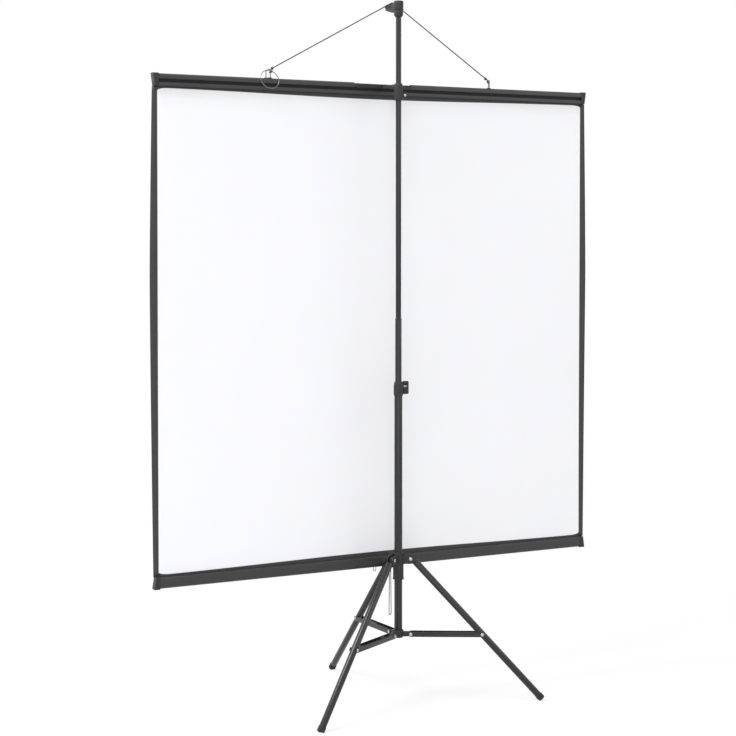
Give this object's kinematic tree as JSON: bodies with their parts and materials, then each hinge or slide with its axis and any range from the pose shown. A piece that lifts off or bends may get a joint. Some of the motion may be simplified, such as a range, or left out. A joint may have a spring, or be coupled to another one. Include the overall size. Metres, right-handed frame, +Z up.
{
  "type": "tripod projection screen",
  "caption": "Portable projection screen: a white sheet with black borders hung by a cord from a telescopic mast on folding tripod legs.",
  "frame": {"origin": "on the floor, at the middle of the object's box", "axes": "+Z up, X along the screen, +Y from the mast towards the audience side of the sheet"},
  "size_m": [1.563, 0.6886, 2.168],
  "materials": {
    "black_coat": "satin",
    "black_plastic": "matte",
    "rail": "satin",
    "rubber": "matte",
    "zinc": "bright",
    "steel": "satin",
    "nylon": "matte",
    "sheet": "matte",
    "cord": "matte",
    "webbing": "matte"
  },
  "bodies": {
    "stand": {"lower_tube": "black_coat", "tube_plug": "black_plastic", "leg_hub": "black_plastic", "clamp_collar": "black_plastic", "hub_pin_right": "zinc", "hub_pin_left": "zinc", "hub_pin_front": "zinc"},
    "clamp_knob": {"clamp_knob": "black_plastic", "clamp_screw": "zinc"},
    "spreader": {"spreader_collar": "black_plastic", "spreader_pin_right": "zinc", "spreader_pin_left": "zinc", "spreader_pin_front": "zinc"},
    "middle_mast": {"middle_tube": "black_coat", "middle_guide": "nylon", "middle_bush": "black_plastic"},
    "top_mast": {"top_tube": "black_coat", "top_guide": "nylon", "head_cap": "black_plastic", "bar_holder": "black_plastic", "holder_screw": "zinc"},
    "screen": {"top_bar": "rail", "bottom_bar": "rail", "top_beading": "nylon", "bottom_beading": "nylon", "sheet": "sheet", "strap_seat": "black_plastic", "carry_strap": "webbing", "bottom_grip": "black_plastic", "top_cap_left": "black_plastic", "top_cap_right": "black_plastic", "bottom_cap_left": "black_plastic", "bottom_cap_right": "black_plastic", "eyelet_left": "steel", "eyelet_right": "steel", "strap_rivet_left": "zinc", "strap_rivet_right": "zinc", "pull_clip": "black_plastic", "pull_loop": "cord", "bottom_eye": "steel", "hanging_cord": "cord"},
    "ring": {"storage_ring": "steel"},
    "leg_right": {"leg_tube_right": "black_coat", "leg_knuckle_right": "black_plastic", "leg_foot_right": "rubber"},
    "brace_right": {"brace_right": "black_coat", "brace_rivet_right_a": "zinc", "brace_rivet_right_b": "zinc"},
    "leg_left": {"leg_tube_left": "black_coat", "leg_knuckle_left": "black_plastic", "leg_foot_left": "rubber"},
    "brace_left": {"brace_left": "black_coat", "brace_rivet_left_a": "zinc", "brace_rivet_left_b": "zinc"},
    "leg_front": {"leg_tube_front": "black_coat", "leg_knuckle_front": "black_plastic", "leg_foot_front": "rubber"},
    "brace_front": {"brace_front": "black_coat", "brace_rivet_front_a": "zinc", "brace_rivet_front_b": "zinc"}
  },
  "joints": [
    {"name": "leg_right_fold", "type": "hinge", "parent": "stand", "child": "leg_right", "pos_m": [0.03325, -0.1296, 0.441], "axis": [0.5, 0.866, 0], "range_deg": [0, 34]},
    {"name": "leg_left_fold", "type": "hinge", "parent": "stand", "child": "leg_left", "pos_m": [-0.03325, -0.1296, 0.441], "axis": [0.5, -0.866, 0], "range_deg": [0, 34]},
    {"name": "leg_front_fold", "type": "hinge", "parent": "stand", "child": "leg_front", "pos_m": [0, -0.072, 0.441], "axis": [-1, 0, 0], "range_deg": [0, 34]},
    {"name": "spreader_slide", "type": "slide", "parent": "stand", "child": "spreader", "axis": [0, 0, 1], "range_m": [0, 0.1322]},
    {"name": "brace_right_swing", "type": "hinge", "parent": "spreader", "child": "brace_right", "pos_m": [0.03352, -0.12975, 0.206], "axis": [0.5, 0.866, 0], "range_deg": [0, 76.4]},
    {"name": "brace_left_swing", "type": "hinge", "parent": "spreader", "child": "brace_left", "pos_m": [-0.03352, -0.12975, 0.206], "axis": [0.5, -0.866, 0], "range_deg": [0, 76.4]},
    {"name": "brace_front_swing", "type": "hinge", "parent": "spreader", "child": "brace_front", "pos_m": [0, -0.0717, 0.206], "axis": [-1, 0, 0], "range_deg": [0, 76.4]},
    {"name": "knob_turn", "type": "hinge", "parent": "stand", "child": "clamp_knob", "pos_m": [0.025, -0.1104, 0.977], "axis": [1, 0, 0], "range_deg": [0, 180]},
    {"name": "middle_mast_slide", "type": "slide", "parent": "stand", "child": "middle_mast", "axis": [0, 0, 1], "range_m": [0, 0.35]},
    {"name": "top_mast_slide", "type": "slide", "parent": "middle_mast", "child": "top_mast", "axis": [0, 0, 1], "range_m": [0, 0.15]},
    {"name": "screen_lift", "type": "slide", "parent": "top_mast", "child": "screen", "axis": [0, 0, 1], "range_m": [0, 0.06]},
    {"name": "ring_swing", "type": "hinge", "parent": "screen", "child": "ring", "pos_m": [-0.396, -0.0069, 1.94545], "axis": [-1, 0, 0], "range_deg": [0, 100]}
  ],
  "couplings": [
    {"joint": "leg_left_fold", "follows": "leg_right_fold", "ratio": 1},
    {"joint": "leg_front_fold", "follows": "leg_right_fold", "ratio": 1},
    {"joint": "spreader_slide", "follows": "leg_right_fold", "m_per_rad": 0.2218},
    {"joint": "brace_right_swing", "follows": "leg_right_fold", "ratio": 2.2428},
    {"joint": "brace_left_swing", "follows": "leg_right_fold", "ratio": 2.2428},
    {"joint": "brace_front_swing", "follows": "leg_right_fold", "ratio": 2.2428}
  ]
}
